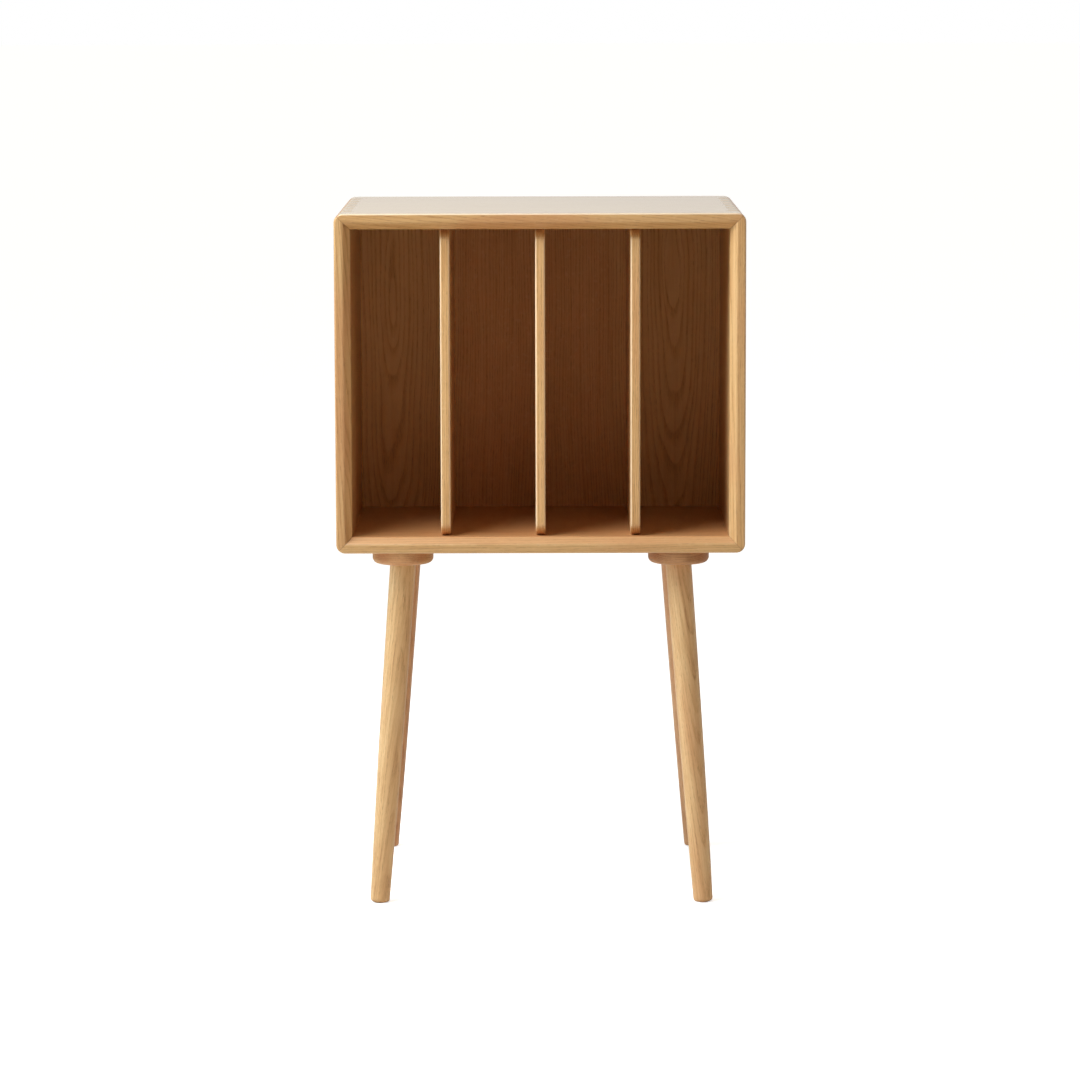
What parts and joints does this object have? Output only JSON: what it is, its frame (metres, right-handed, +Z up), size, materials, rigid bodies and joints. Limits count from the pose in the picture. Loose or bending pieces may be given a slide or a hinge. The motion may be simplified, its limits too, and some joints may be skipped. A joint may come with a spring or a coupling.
{
  "type": "record storage cabinet",
  "caption": "Open-fronted oak record cabinet with box-jointed corners, upright dividers, a recessed back panel and splayed turned legs on round discs.",
  "frame": {"origin": "centre of the footprint, on the floor under the glides", "axes": "+Z up, -Y out of the open front, +X to the right as seen from the front"},
  "size_m": [0.5, 0.4, 0.854],
  "materials": {
    "oak_top": "satin clear lacquer, straight grain along the width",
    "oak_case": "satin clear lacquer, grain along each board",
    "oak_back": "satin lacquered veneer, upright cathedral grain",
    "oak_divider": "satin clear lacquer, upright grain",
    "oak_disc": "satin clear lacquer, turned",
    "oak_leg": "satin clear lacquer, turned, grain along the leg",
    "glide_nylon": "matte",
    "zinc_steel": "bright zinc plated",
    "insert_brass": "plain turned"
  },
  "bodies": {
    "root": {"top_board": "oak_top", "bottom_board": "oak_case", "left_side_board": "oak_case", "right_side_board": "oak_case", "back_panel": "oak_back", "left_divider": "oak_divider", "middle_divider": "oak_divider", "right_divider": "oak_divider", "front_left_leg_disc": "oak_disc", "front_right_leg_disc": "oak_disc", "rear_left_leg_disc": "oak_disc", "rear_right_leg_disc": "oak_disc", "front_left_leg": "oak_leg", "front_right_leg": "oak_leg", "rear_left_leg": "oak_leg", "rear_right_leg": "oak_leg", "front_left_glide": "glide_nylon", "front_right_glide": "glide_nylon", "rear_left_glide": "glide_nylon", "rear_right_glide": "glide_nylon", "front_left_hanger_bolt": "zinc_steel", "front_right_hanger_bolt": "zinc_steel", "rear_left_hanger_bolt": "zinc_steel", "rear_right_hanger_bolt": "zinc_steel", "front_left_insert": "insert_brass", "front_right_insert": "insert_brass", "rear_left_insert": "insert_brass", "rear_right_insert": "insert_brass", "front_left_disc_screws": "zinc_steel", "front_right_disc_screws": "zinc_steel", "rear_left_disc_screws": "zinc_steel", "rear_right_disc_screws": "zinc_steel"}
  },
  "joints": []
}
